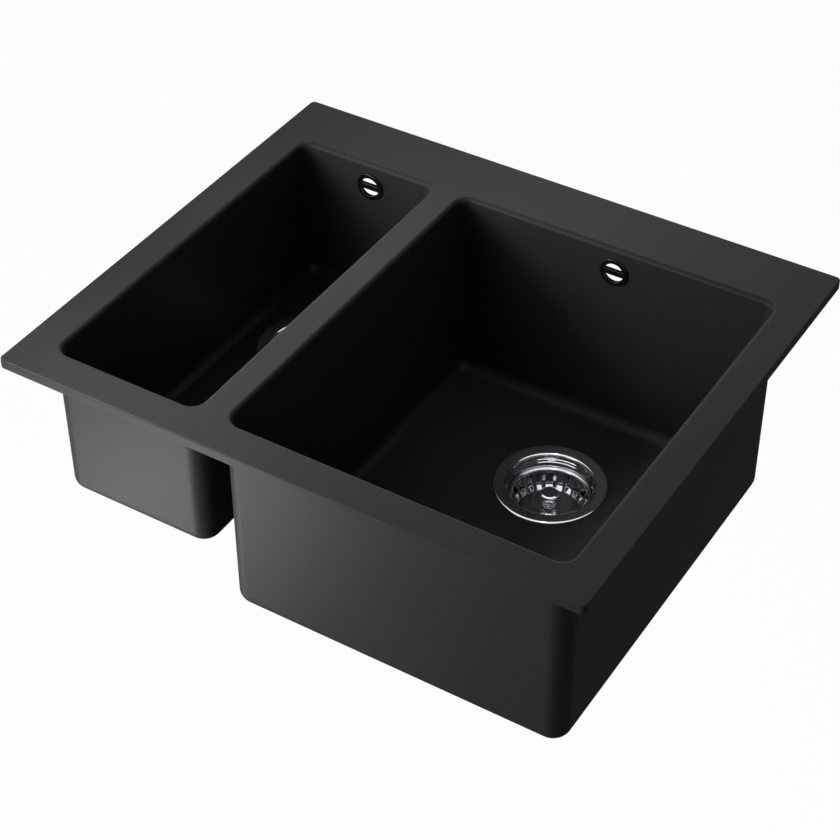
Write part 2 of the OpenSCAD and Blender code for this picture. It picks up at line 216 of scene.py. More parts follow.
bodySizes = dict(
    leftLand=36 * mm,       # flat rim beside the narrow bowl
    rightLand=34.5 * mm,    # flat rim beside the wide bowl
    frontLand=36.5 * mm,
    deckDepth=69.5 * mm,    # tap deck behind the bowls
    sideWidth=154 * mm,     # inside width of the narrow bowl
    ridgeWidth=31.5 * mm,   # between the bowls
    sideDepth=155.5 * mm,
    mainDepth=209 * mm,
    wall=5 * mm,
    floor=7.5 * mm,
    cornerRadius=13 * mm,   # bowl corners in plan, inside
    floorRadius=12.5 * mm,  # between walls and floor
    lipRadius=4.5 * mm,     # rounded edge of the openings
    flareRadius=3 * mm,     # where the bowls grow out of the rim
    rimCorner=5 * mm,
    rimTopEdge=1.3 * mm,
    rimUnderEdge=0.7 * mm,
    grooveInset=6 * mm,
    grooveWidth=8 * mm,
    grooveDepth=2 * mm,
    wasteHole=45 * mm,
    overflowHole=13.5 * mm,
    overflowSeat=22 * mm,
    overflowWeb=2.5 * mm,
    stripEdge=0.5 * mm,
    cornerSteps=14,
    edgeSteps=8,
    rimTopSteps=4,
    rimUnderSteps=3,
    wasteSteps=96,
    overflowSteps=64,
    smoothBelow=35,         # degrees
    overrun=1 * mm,         # how far cutting pieces reach past what they cut
)


def roundedBlock(name, centre, size, corner, steps):
    piece = addCube(name, centre, size)
    startEdit(piece)
    pick(piece, "EDGE", lambda e: runsAlong(e, 2))
    bpy.ops.mesh.bevel(offset=corner, segments=steps, affect="EDGES", clamp_overlap=False)
    stopEdit()
    return piece


def bowlForm(name, centre, size, corner, top, bottom, lip, fillet, cap):
    # Block with round corners whose underside is inset step by step: lip, straight wall, floor radius
    s = bodySizes
    wide = (size[0] + 2 * lip, size[1] + 2 * lip, cap)
    piece = roundedBlock(name, (centre[0], centre[1], top + cap / 2), wide, corner + lip, s["cornerSteps"])
    steps = s["edgeSteps"]
    path = [(0, top)]
    for step in range(1, steps + 1):
        angle = math.pi / 2 * step / steps
        path.append((lip * math.sin(angle), top - lip + lip * math.cos(angle)))
    path.append((lip, bottom + fillet))
    for step in range(1, steps + 1):
        angle = math.pi / 2 * step / steps
        path.append((lip + fillet * (1 - math.cos(angle)), bottom + fillet - fillet * math.sin(angle)))
    startEdit(piece)
    pick(piece, "FACE", lambda f: f.normal.z < -0.9)
    for (inset0, z0), (inset1, z1) in zip(path, path[1:]):
        if near(inset0, inset1):
            bpy.ops.mesh.extrude_region_move(TRANSFORM_OT_translate={"value": (0, 0, z1 - z0)})
        else:
            bpy.ops.mesh.inset(thickness=inset1 - inset0, depth=z0 - z1, use_even_offset=True)
    stopEdit()
    return piece


def rimEdge(piece, z, offset, steps):
    startEdit(piece)
    pick(piece, "EDGE", lambda e: near(e.verts[0].co.z, z) and near(e.verts[1].co.z, z))
    bpy.ops.mesh.bevel(offset=offset, segments=steps, affect="EDGES", clamp_overlap=False)
    stopEdit()


def sinkBody():
    s = bodySizes
    low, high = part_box("sink_body")
    width, depth, top = high.x - low.x, high.y - low.y, high.z
    mainWidth = width - s["leftLand"] - s["sideWidth"] - s["ridgeWidth"] - s["rightLand"]
    length = depth - s["frontLand"] - s["deckDepth"]
    middleY = low.y + s["frontLand"] + length / 2
    bowls = {
        "side": (low.x + s["leftLand"] + s["sideWidth"] / 2, s["sideWidth"], s["sideDepth"]),
        "main": (high.x - s["rightLand"] - mainWidth / 2, mainWidth, s["mainDepth"]),
    }
    piece = roundedBlock("sinkBody", (0, 0, top / 2), (width, depth, top), s["rimCorner"], s["edgeSteps"])
    rimEdge(piece, top, s["rimTopEdge"], s["rimTopSteps"])
    rimEdge(piece, 0, s["rimUnderEdge"], s["rimUnderSteps"])
    throughWall = (math.pi / 2, 0, 0)
    wallY = middleY + length / 2
    for name, (x, bowlWidth, bowlDepth) in bowls.items():
        outside = (bowlWidth + 2 * s["wall"], length + 2 * s["wall"])
        shell = bowlForm(name + "Shell", (x, middleY), outside, s["cornerRadius"] + s["wall"], 0,
                         top - bowlDepth - s["floor"], s["flareRadius"], s["floorRadius"], top / 2)
        combine(piece, shell, "UNION")
    for name, (x, bowlWidth, bowlDepth) in bowls.items():
        inside = bowlForm(name + "Inside", (x, middleY), (bowlWidth, length), s["cornerRadius"], top,
                          top - bowlDepth, s["lipRadius"], s["floorRadius"], s["overrun"])
        combine(piece, inside, "DIFFERENCE")
        cupLow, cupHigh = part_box(name + "_strainer_cup")
        hole = addCylinder("hole", ((cupLow.x + cupHigh.x) / 2, (cupLow.y + cupHigh.y) / 2, top - bowlDepth),
                           s["wasteHole"], 4 * s["floor"], s["wasteSteps"])
        combine(piece, hole, "DIFFERENCE")
        coverLow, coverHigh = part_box(name + "_overflow_cover")
        coverX, coverZ = (coverLow.x + coverHigh.x) / 2, (coverLow.z + coverHigh.z) / 2
        hole = addCylinder("hole", (coverX, wallY, coverZ), s["overflowHole"], 4 * s["wall"],
                           s["overflowSteps"], throughWall)
        combine(piece, hole, "DIFFERENCE")
        seat = addCylinder("seat", (coverX, wallY + s["overflowWeb"] + s["wall"], coverZ),
                           s["overflowSeat"], 2 * s["wall"], s["overflowSteps"], throughWall)
        combine(piece, seat, "DIFFERENCE")
    groove = sealRing("groove", width, depth, s["grooveInset"], s["grooveWidth"],
                      -s["overrun"], s["grooveDepth"] + s["overrun"])
    combine(piece, groove, "DIFFERENCE")
    cleanUp(piece)
    finishShading(piece, s["smoothBelow"])
    return piece


def sealRing(name, width, depth, inset, ringWidth, bottom, height):
    s = bodySizes
    size = (width - 2 * inset, depth - 2 * inset, height)
    piece = roundedBlock(name, (0, 0, bottom + height / 2), size, s["rimCorner"], s["edgeSteps"])
    hollow = roundedBlock("hollow", (0, 0, bottom + height / 2),
                          (size[0] - 2 * ringWidth, size[1] - 2 * ringWidth, 2 * height),
                          s["rimCorner"], s["edgeSteps"])
    combine(piece, hollow, "DIFFERENCE")
    return piece


# Foam strip in the groove under the rim

def foamStrip():
    s = bodySizes
    low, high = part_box("rim_foam_strip")
    rimLow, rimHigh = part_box("sink_body")
    inset = low.x - rimLow.x
    stripWidth = s["grooveWidth"] - 2 * (inset - s["grooveInset"])
    piece = sealRing("rimFoamStrip", rimHigh.x - rimLow.x, rimHigh.y - rimLow.y, inset, stripWidth,
                     low.z, high.z - low.z)
    applyModifier(piece, "BEVEL", width=s["stripEdge"], segments=3, limit_method="ANGLE",
                  angle_limit=math.radians(60))
    finishShading(piece, s["smoothBelow"])
    return piece


# Waste: each piece is modelled once round the upright axis, with height 0 on the bowl's floor

cupSizes = dict(
    flangeRadius=57 * mm,
    flangeHeight=2.2 * mm,
    flangeEdge=2.2 * mm,     # width of the flange's rolled edge
    flangeLift=0.275 * mm,   # height at which the rolled edge starts
    sheetUnder=0.8 * mm,     # underside of the flange, on its gasket
    mouthRadius=43 * mm,
    mouthTop=1.2 * mm,       # the flange falls towards the mouth
    mouthRounding=2.5 * mm,
    ringDepth1=4.2 * mm,
    ringDepth2=7.2 * mm,
    ringStep=0.8 * mm,
    soft=0.35 * mm,          # rounding of pressed steps
    coneCurve=2.1 * mm,
    ledgeDepth=15 * mm,
    lowerRadius=39.6 * mm,
    coneTop=34.5 * mm,       # the cone shows through the basket's slots
    seatDepth=43.1 * mm,
    seatOuter=30 * mm,
    wellRadius=24 * mm,
    bottomDepth=52 * mm,
    sheet=1.2 * mm,
    threadRadius=44.3 * mm,
    threadTop=3 * mm,
    threadEnd=30 * mm,
    threadPitch=2 * mm,
    threadCut=0.7 * mm,
    hubRadius=7 * mm,
    hubHeight=3.4 * mm,
    hubHole=3.7 * mm,
    drainHoles=6,
    drainHole=4.6 * mm,
    spigotRadius=23.9 * mm,
    spigotWall=3 * mm,
    spigotEnd=70.5 * mm,
    rollSteps=8,
    drainSteps=32,
    steps=128,
)


def threadLine(radius, start, end, pitch, cut):
    # Ridges along an outside wall, drawn from start to end
    count = int(abs(end - start) / pitch)
    stride = (end - start) / count
    flank, crest, foot = 0.35, 0.55, 0.9  # shares of the pitch
    line = []
    for turn in range(count):
        z = start + stride * turn
        line += [(radius - cut, z, 0), (radius, z + stride * flank, 0),
                 (radius, z + stride * crest, 0), (radius - cut, z + stride * foot, 0)]
    return line


def strainerCup():
    s = cupSizes
    soft, curve, step, outer = s["soft"], s["coneCurve"], s["ringStep"], s["flangeRadius"]
    rise, rollSteps = s["flangeLift"], s["rollSteps"]
    rolled = []
    for part in range(rollSteps + 1):
        angle = math.pi / 2 * part / rollSteps
        rolled.append((outer - s["flangeEdge"] * (1 - math.cos(angle)),
                       rise + (s["flangeHeight"] - rise) * math.sin(angle), 0))
    plate = -s["bottomDepth"] + s["sheet"]
    spigotInside = s["spigotRadius"] - s["spigotWall"]
    deeper = s["sheet"] / 2
    corners = [(outer - rise, 0, 0)] + rolled + [
        (s["mouthRadius"], s["mouthTop"], s["mouthRounding"]),
        (s["mouthRadius"], -s["ringDepth1"], soft),
        (s["mouthRadius"] - step, -s["ringDepth1"] - step, soft),
        (s["mouthRadius"] - step, -s["ringDepth2"], soft),
        (s["mouthRadius"] - 2 * step, -s["ringDepth2"] - step, soft),
        (s["mouthRadius"] - 2 * step, -s["ledgeDepth"], soft),
        (s["lowerRadius"], -s["ledgeDepth"], 2 * soft),
        (s["lowerRadius"], -s["coneTop"], curve),
        (s["seatOuter"], -s["seatDepth"], curve),
        (s["wellRadius"], -s["seatDepth"], 2 * soft),
        (s["wellRadius"], plate, 2 * soft),
        (s["hubRadius"], plate, soft),
        (s["hubRadius"], plate + s["hubHeight"], soft),
        (s["hubHole"], plate + s["hubHeight"], soft),
        (s["hubHole"], -s["bottomDepth"], soft),
        (spigotInside, -s["bottomDepth"], soft),
        (spigotInside, -s["spigotEnd"], soft),
        (s["spigotRadius"] - s["threadCut"], -s["spigotEnd"], soft),
    ] + threadLine(s["spigotRadius"], -s["spigotEnd"] + deeper, -s["bottomDepth"] - deeper,
                   s["threadPitch"], s["threadCut"]) + [
        (s["spigotRadius"] - s["threadCut"], -s["bottomDepth"], 0),
        (s["wellRadius"] + s["sheet"], -s["bottomDepth"], soft),
        (s["wellRadius"] + s["sheet"], -s["seatDepth"] - s["sheet"], soft),
        (s["seatOuter"] + deeper, -s["seatDepth"] - s["sheet"], curve),
        (s["lowerRadius"] + s["sheet"], -s["coneTop"] - deeper, curve),
        (s["lowerRadius"] + s["sheet"], -s["threadEnd"] - s["threadPitch"], 0),
    ] + threadLine(s["threadRadius"], -s["threadEnd"], -s["threadTop"], s["threadPitch"], s["threadCut"]) + [
        (s["threadRadius"], -s["threadTop"] + deeper, 0),
        (s["threadRadius"], s["sheetUnder"], 0),
        (outer - s["flangeEdge"] / 2, s["sheetUnder"], 0),
    ]
    piece = turned("strainerCup", roundedCorners(corners), s["steps"])
    ring = (s["hubRadius"] + spigotInside) / 2
    for index in range(s["drainHoles"]):
        angle = 2 * math.pi * index / s["drainHoles"]
        hole = addCylinder("hole", (ring * math.cos(angle), ring * math.sin(angle), -s["bottomDepth"]),
                           s["drainHole"], 4 * s["sheet"], s["drainSteps"])
        combine(piece, hole, "DIFFERENCE")
    finishShading(piece)
    return piece


basketSizes = dict(
    beadRadius=0.8 * mm,
    rimRadius=41 * mm,
    rimUnder=14.7 * mm,      # depth of the rolled rim's lowest point
    sheet=0.8 * mm,
    wallTop=38.4 * mm,
    wallFloor=34 * mm,
    floorDepth=38 * mm,
    slotTop=17.6 * mm,
    slotFoot=37 * mm,
    screwHole=1.6 * mm,
    shoulder=2.2 * mm,
    slotEdge=0.18 * mm,      # rounding of the slots' edges
    slots=22,
    stepsPerSlot=7,          # two of them are the rib
    beadSteps=8,
    turn=-4.3,               # degrees, as the basket lies in its cup
)


def strainerBasket():
    s = basketSizes
    sheet, bead = s["sheet"], s["beadRadius"]
    flat = -s["rimUnder"] + bead / 4

    def wallAt(z):  # outside radius of the slanted wall
        share = (flat - z) / (flat + s["floorDepth"] + sheet)
        return s["wallTop"] + (s["wallFloor"] - s["wallTop"]) * share

    beadX, beadZ = s["rimRadius"] - bead, -s["rimUnder"] + bead
    roll = [(beadX + bead * math.cos(a), beadZ + bead * math.sin(a), 0)
            for a in [math.radians(90 - 180 / s["beadSteps"] * part) for part in range(s["beadSteps"] + 1)]]
    corners = [
        (s["screwHole"], -s["floorDepth"], 0),
        (s["wallFloor"] - sheet, -s["floorDepth"], sheet / 2),
        (wallAt(-s["slotFoot"]) - sheet, -s["slotFoot"], 0),
        (wallAt(-s["slotTop"]) - sheet, -s["slotTop"], 0),
        (s["wallTop"] - sheet, flat + sheet, s["shoulder"]),
    ] + roll + [
        (beadX, flat, 0),
        (s["wallTop"], flat, sheet / 2),
        (wallAt(-s["slotTop"]), -s["slotTop"], 0),
        (wallAt(-s["slotFoot"]), -s["slotFoot"], 0),
        (s["wallFloor"], -s["floorDepth"] - sheet, sheet),
        (s["screwHole"], -s["floorDepth"] - sheet, 0),
    ]
    around = s["slots"] * s["stepsPerSlot"]
    piece = turned("basket", roundedCorners(corners), around)

    def slotOf(face):  # number of the slot that a wall face lies in, or None on a rib
        if not -s["slotFoot"] < middle(face).z < -s["slotTop"]:
            return None
        count = stepAt(face, around)
        if 1 < count % s["stepsPerSlot"] < s["stepsPerSlot"] - 1:
            return int(count / s["stepsPerSlot"])
        return None

    startEdit(piece)
    for index in range(s["slots"]):
        pick(piece, "FACE", lambda face: slotOf(face) == index)
        bpy.ops.mesh.bridge_edge_loops()
    stopEdit()
    onlyThis(piece)
    bpy.ops.transform.rotate(value=-math.radians(s["turn"]), orient_axis="Z", center_override=(0, 0, 0))
    settle(piece)
    applyModifier(piece, "BEVEL", width=s["slotEdge"], segments=2, limit_method="ANGLE",
                  angle_limit=math.radians(60))
    finishShading(piece)
    return piece


postSizes = dict(
    knobRadius=9.2 * mm,
    knobTop=9.7 * mm,
    knobFlat=7.6 * mm,
    knobEdge=2.4 * mm,       # depth of the knob's widest point below its top
    funnel=5.8 * mm,         # depth of the knob with its tapering underside
    knobSide=0.6 * mm,       # depth at which the knob's straight side starts
    knobSoft=0.9 * mm,
    neckRadius=3.7 * mm,
    neckFoot=18 * mm,
    neckCurve=3 * mm,
    ballRadius=6.6 * mm,
    ballDepth=27 * mm,
    ballSpan=52,             # degrees of the ball above and below its middle
    ballSteps=12,
    waistRadius=4 * mm,
    waistTop=33 * mm,
    waistFoot=34.4 * mm,
    footRadius=8 * mm,
    footDepth=38 * mm,
    footHeight=1 * mm,
    footEdge=0.3 * mm,
    footCurve=2 * mm,
    soft=0.5 * mm,
    screwHole=1.6 * mm,
    screwHoleTop=28.9 * mm,
    steps=64,
    smoothBelow=50,
)


def basketPost():
    s = postSizes
    soft, knobTop = s["soft"], -s["knobTop"]
    ball = []
    for part in range(s["ballSteps"] + 1):
        angle = math.radians(s["ballSpan"] * (2 * part / s["ballSteps"] - 1))
        ball.append((s["ballRadius"] * math.cos(angle),
                     -s["ballDepth"] + s["ballRadius"] * math.sin(angle), 0))
    corners = [
        (0, -s["screwHoleTop"], 0),
        (s["screwHole"], -s["screwHoleTop"], 0),
        (s["screwHole"], -s["footDepth"], 0),
        (s["footRadius"], -s["footDepth"], s["footEdge"]),
        (s["footRadius"], -s["footDepth"] + s["footHeight"], soft),
        (s["waistRadius"], -s["waistFoot"], s["footCurve"]),
        (s["waistRadius"], -s["waistTop"], soft),
    ] + ball + [
        (s["neckRadius"], -s["neckFoot"], soft),
        (s["neckRadius"], knobTop - s["funnel"], s["neckCurve"]),
        (s["knobRadius"], knobTop - s["knobEdge"], soft),
        (s["knobRadius"], knobTop - s["knobSide"], soft),
        (s["knobFlat"], knobTop, s["knobSoft"]),
        (0, knobTop, 0),
    ]
    piece = turned("basketPost", roundedCorners(corners), s["steps"], closed=False)
    finishShading(piece, s["smoothBelow"])
    return piece


underSizes = dict(
    stopperRadius=27.5 * mm,
    stopperTop=38.8 * mm,
    stopperThickness=4 * mm,
    stopperTaper=1.2 * mm,
    stopperEdge=0.5 * mm,
    screwRadius=1.5 * mm,
    screwHole=1.6 * mm,
    screwTop=29 * mm,
    screwPitch=0.8 * mm,
    screwCut=0.25 * mm,
    stemRadius=3.4 * mm,
    keeperRadius=10 * mm,
    keeper=1.5 * mm,
    keeperRing=2 * mm,       # width of the moulded ring round the keeper disc
    stemEnd=57 * mm,
    stemEdge=0.3 * mm,
    tip=2 * mm,
    tipTaper=1.4 * mm,
    steps=64,
)


def basketStopper():
    s = underSizes
    top = -s["stopperTop"]
    low = top - s["stopperThickness"]
    lip, ring = s["stopperEdge"], s["keeperRadius"] + s["keeperRing"]
    corners = [
        (s["screwHole"], top, 0),
        (s["stopperRadius"] - s["stopperTaper"], top, lip),
        (s["stopperRadius"], top - s["stopperTaper"], lip),
        (s["stopperRadius"], low + s["stopperTaper"], lip),
        (s["stopperRadius"] - s["stopperTaper"], low, lip),
        (ring, low, lip),
        (ring, low + lip, lip / 2),
        (s["keeperRadius"], low + lip, 0),
        (s["keeperRadius"], low, 0),
        (s["screwHole"], low, 0),
    ]
    piece = turned("basketStopper", roundedCorners(corners), s["steps"])
    finishShading(piece)
    return piece


def basketStem():
    s = underSizes
    low = -s["stopperTop"] - s["stopperThickness"]
    soft = s["stemEdge"]
    cut = s["screwRadius"] - s["screwCut"]
    corners = [
        (0, -s["screwTop"], 0),
        (cut, -s["screwTop"], soft / 2),
    ] + threadLine(s["screwRadius"], -s["screwTop"] - soft, low + soft, s["screwPitch"], s["screwCut"]) + [
        (cut, low, 0),
        (s["keeperRadius"], low, soft),
        (s["keeperRadius"], low - s["keeper"], 2 * soft),
        (s["stemRadius"], low - s["keeper"], soft),
        (s["stemRadius"], -s["stemEnd"] + s["tip"], soft),
        (s["stemRadius"] - s["tipTaper"], -s["stemEnd"], soft),
        (0, -s["stemEnd"], 0),
    ]
    piece = turned("basketStem", roundedCorners(corners), s["steps"], closed=False)
    finishShading(piece)
    return piece


sealSizes = dict(
    gasketInside=46 * mm,
    washerInside=44.5 * mm,
    outletInside=20.9 * mm,
    rounding=0.25,           # share of a ring's thickness
    steps=96,
)


def flatRing(node, name, inside, floorZ):
    s = sealSizes
    low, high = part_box(node)
    outside = (high.x - low.x) / 2
    bottom, top = low.z - floorZ, high.z - floorZ
    soft = (top - bottom) * s["rounding"]
    corners = [(inside, bottom, soft), (outside, bottom, soft), (outside, top, soft), (inside, top, soft)]
    piece = turned(name, roundedCorners(corners, 3), s["steps"])
    finishShading(piece)
    return piece


nutSizes = dict(
    lockBore=44.4 * mm,
    lockRadius=52 * mm,
    lockLugRadius=57 * mm,
    lockLugs=8,
    lockTop=11.5 * mm,
    lockHeight=12 * mm,
    couplingBore=24 * mm,
    couplingRadius=27.5 * mm,
    couplingLugRadius=30.4 * mm,
    couplingLugs=6,
    couplingTop=62.5 * mm,
    couplingHeight=15 * mm,
    couplingLip=3 * mm,
    couplingLipBore=19.85 * mm,
    stepsPerLug=20,
    lockLugSteps=7,          # steps of the circle that a lug takes
    couplingLugSteps=6,
    edge=0.9 * mm,
)


def lugNut(name, outline, lugs, lugSteps, radius, lugRadius):
    s = nutSizes
    around = lugs * s["stepsPerLug"]
    piece = turned(name, outline, around)

    def onLug(face):
        past = stepAt(face, around) % s["stepsPerLug"]
        onOutside = abs(face.normal.z) < 0.1 and middle(face).xy.length > radius * 0.98
        return onOutside and min(past, s["stepsPerLug"] - past) < lugSteps / 2

    startEdit(piece)
    pick(piece, "FACE", onLug)
    grow = lugRadius / radius
    bpy.ops.mesh.extrude_region_move(TRANSFORM_OT_translate={"value": (0, 0, 0)})
    bpy.ops.transform.resize(value=(grow, grow, 1), center_override=(0, 0, 0))
    stopEdit()
    cleanUp(piece)
    applyModifier(piece, "BEVEL", width=s["edge"], segments=3, limit_method="ANGLE",
                  angle_limit=math.radians(50))
    finishShading(piece)
    return piece


def lockNut():
    s = nutSizes
    top, low = -s["lockTop"], -s["lockTop"] - s["lockHeight"]
    bore, radius = s["lockBore"], s["lockRadius"]
    outline = [(bore, low), (radius, low), (radius, top), (bore, top)]
    return lugNut("lockNut", outline, s["lockLugs"], s["lockLugSteps"], radius, s["lockLugRadius"])


def couplingNut():
    s = nutSizes
    top, low = -s["couplingTop"], -s["couplingTop"] - s["couplingHeight"]
    bore, lipBore, radius = s["couplingBore"], s["couplingLipBore"], s["couplingRadius"]
    step = low + s["couplingLip"]
    outline = [(lipBore, low), (radius, low), (radius, top), (bore, top), (bore, step), (lipBore, step)]
    return lugNut("couplingNut", outline, s["couplingLugs"], s["couplingLugSteps"], radius,
                  s["couplingLugRadius"])


pipeSizes = dict(
    radius=19.05 * mm,
    wall=1.5 * mm,
    neck=19.65 * mm,
    flangeRadius=23.7 * mm,
    flangeTop=72.5 * mm,
    flange=2 * mm,
    neckEnd=77.5 * mm,
    end=130 * mm,
    soft=0.6 * mm,
    steps=96,
)


def tailPipe():
    s = pipeSizes
    soft, inside = s["soft"], s["radius"] - s["wall"]
    under = -s["flangeTop"] - s["flange"]
    corners = [
        (inside, -s["flangeTop"], soft),
        (inside, -s["end"], soft),
        (s["radius"], -s["end"], soft),
        (s["radius"], -s["neckEnd"], 0),
        (s["neck"], -s["neckEnd"], 0),
        (s["neck"], under, soft / 2),
        (s["flangeRadius"], under, soft),
        (s["flangeRadius"], -s["flangeTop"], soft),
    ]
    piece = turned("tailPipe", roundedCorners(corners), s["steps"])
    finishShading(piece)
    return piece


coverSizes = dict(
    bezelRadius=15 * mm,
    bezelHeight=2.2 * mm,
    bezelEdge=1.1 * mm,      # rounding of the bezel's outer edge
    openingRadius=10.3 * mm,
    openingBack=1.4 * mm,    # how far the opening's wall goes back behind the bezel
    collarOutside=13.4 * mm,
    collarInside=12.6 * mm,
    collarDepth=2.5 * mm,
    barHeight=6.3 * mm,
    barFront=2 * mm,
    barThickness=4 * mm,
    barEdge=0.7 * mm,
    openingEdge=0.3 * mm,
    collarEdge=0.2 * mm,
    cornerSteps=5,
    steps=96,
)


def overflowCover():
    # Modelled lying on its back: height 0 is the wall's face
    s = coverSizes
    corners = [
        (s["bezelRadius"], 0, 0),
        (s["bezelRadius"], s["bezelHeight"], s["bezelEdge"]),
        (s["openingRadius"], s["bezelHeight"], s["bezelEdge"] / 2),
        (s["openingRadius"], -s["openingBack"], s["openingEdge"]),
        (s["collarInside"], -s["openingBack"], 0),
        (s["collarInside"], -s["collarDepth"], 0),
        (s["collarOutside"], -s["collarDepth"], s["collarEdge"]),
        (s["collarOutside"], 0, 0),
    ]
    piece = turned("overflowCover", roundedCorners(corners, s["cornerSteps"]), s["steps"])
    reach = s["openingRadius"] + s["bezelRadius"] - s["bezelEdge"]
    bar = addCube("bar", (0, 0, s["barFront"] - s["barThickness"] / 2),
                  (reach, s["barHeight"], s["barThickness"]))
    startEdit(bar)
    pick(bar, "EDGE", lambda e: runsAlong(e, 0))
    bpy.ops.mesh.bevel(offset=s["barEdge"], segments=4, affect="EDGES")
    stopEdit()
    combine(piece, bar, "UNION")
    piece.rotation_euler = (math.pi / 2, 0, 0)
    settle(piece)
    finishShading(piece)
    return piece


sink = sinkBody()
strip = foamStrip()
print("sink body and foam strip modelled:", len(sink.data.polygons), "faces")

wasteNames = ("main", "side")
wasteAt = {}
for name in wasteNames:
    low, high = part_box(name + "_strainer_cup")
    wasteAt[name] = Vector(((low.x + high.x) / 2, (low.y + high.y) / 2, high.z - cupSizes["flangeHeight"]))
floorZ = wasteAt["main"].z
models = {
    "strainer_cup": strainerCup(),
    "flange_gasket": flatRing("main_flange_gasket", "flangeGasket", sealSizes["gasketInside"], floorZ),
    "floor_washer": flatRing("main_floor_washer", "floorWasher", sealSizes["washerInside"], floorZ),
    "friction_ring": flatRing("main_friction_ring", "frictionRing", sealSizes["washerInside"], floorZ),
    "lock_nut": lockNut(),
    "outlet_washer": flatRing("main_outlet_washer", "outletWasher", sealSizes["outletInside"], floorZ),
    "tail_pipe": tailPipe(),
    "coupling_nut": couplingNut(),
    "basket": strainerBasket(),
    "basket_post": basketPost(),
    "basket_stopper": basketStopper(),
    "basket_stem": basketStem(),
}
cover = overflowCover()
print("waste and overflow pieces modelled:", len(models) + 1)


# Materials

class Shade:
    # A node's output, which can be added to, multiplied and so on

    def __init__(self, tree, socket=None):
        self.tree, self.socket = tree, socket

    def node(self, kind, settings={}, sockets={}, output=0):
        made = self.tree.nodes.new(kind)
        for key, value in settings.items():
            if key == "stops":
                ramp = made.color_ramp
                for index, (position, grey) in enumerate(value):
                    stop = ramp.elements[index] if index < 2 else ramp.elements.new(position)
                    stop.position = position
                    stop.color = (grey, grey, grey, 1)
            else:
                setattr(made, key, value)
        for key, value in sockets.items():
            if isinstance(value, Shade):
                self.tree.links.new(value.socket, made.inputs[key])
            else:
                made.inputs[key].default_value = value
        return Shade(self.tree, made.outputs[output])

    def maths(self, operation, *others):
        return self.node("ShaderNodeMath", {"operation": operation}, dict(enumerate((self,) + others)))

    def __add__(self, other):
        return self.maths("ADD", other)

    __radd__ = __add__

    def __rsub__(self, other):
        return self.node("ShaderNodeMath", {"operation": "SUBTRACT"}, {0: other, 1: self})

    def __mul__(self, other):
        return self.maths("MULTIPLY", other)

    # Patterns that several finishes share

    def place(self):
        return self.node("ShaderNodeTexCoord", output="Object")

    def moved(self, back=(0, 0, 0), stretch=(1, 1, 1)):
        away = [-distance * scale for distance, scale in zip(back, stretch)]
        return self.node("ShaderNodeMapping", {"vector_type": "POINT"},
                         {"Vector": self, "Location": away, "Scale": stretch})

    def radiusAndHeight(self):
        # measured from the upright axis and from the floor of the bowl
        x, y, z = [self.node("ShaderNodeSeparateXYZ", {}, {0: self}, axis) for axis in "XYZ"]
        return (x * x + y * y).maths("SQRT"), z

    def noise(self, size, detail=2, roughness=0.5):
        # grains of about the given size in metres
        return self.node("ShaderNodeTexNoise", {"noise_dimensions": "3D"},
                         {"Vector": self, "Scale": 1 / size, "Detail": detail, "Roughness": roughness}, "Fac")

    def cells(self, size, feature="F1"):
        return self.node("ShaderNodeTexVoronoi", {"feature": feature}, {"Vector": self, "Scale": 1 / size},
                         "Distance")

    def ramp(self, *stops):
        return self.node("ShaderNodeValToRGB", {"stops": stops}, {0: self})

    def mixed(self, other, share):
        # this pattern's share, and the rest of the other
        return self * share + other * (1 - share)

    def between(self, low, high):
        # a mask of 0 to 1 becomes a value from low to high
        return low + self * (high - low)

    def tint(self, colourA, colourB):
        # a mask of 0 to 1 becomes a colour
        return self.node("ShaderNodeMix", {"data_type": "RGBA"},
                         {0: self, 6: (*colourA, 1), 7: (*colourB, 1)}, 2)

    def bump(self, depth, strength):
        return self.node("ShaderNodeBump", {}, {"Height": self, "Distance": depth, "Strength": strength})


def newMaterial(name):
    material = bpy.data.materials.new(name)
    material.use_nodes = True
    return material, Shade(material.node_tree)


def setShader(material, **values):
    # values by the shader's socket names, written without their spaces
    shader = material.node_tree.nodes["Principled BSDF"]
    byName = {socket.name.replace(" ", ""): socket for socket in shader.inputs}
    for name, value in values.items():
        if isinstance(value, Shade):
            material.node_tree.links.new(value.socket, byName[name])
        else:
            byName[name].default_value = value


stoneLook = dict(
    resin=(0.0162, 0.0168, 0.0178),
    dust=(0.028, 0.0288, 0.0302),
    grit=(0.06, 0.0612, 0.0635),
    dustSize=0.9 * mm,
    gritSize=1.5 * mm,
    rareSize=3.6 * mm,
    grainSize=0.45 * mm,
    cloudSize=90 * mm,
    grainDepth=0.05 * mm,
    dustRamp=((0.4, 0), (0.75, 1)),
    gritRamp=((0.1, 1), (0.16, 0)),   # round specks
    rareRamp=((0.56, 0), (0.62, 1)),  # where specks are let through
    dustShare=0.75,
    gritShare=0.55,
    grainShare=0.6,
    roughness=(0.43, 0.57),
    reflection=0.1,
)


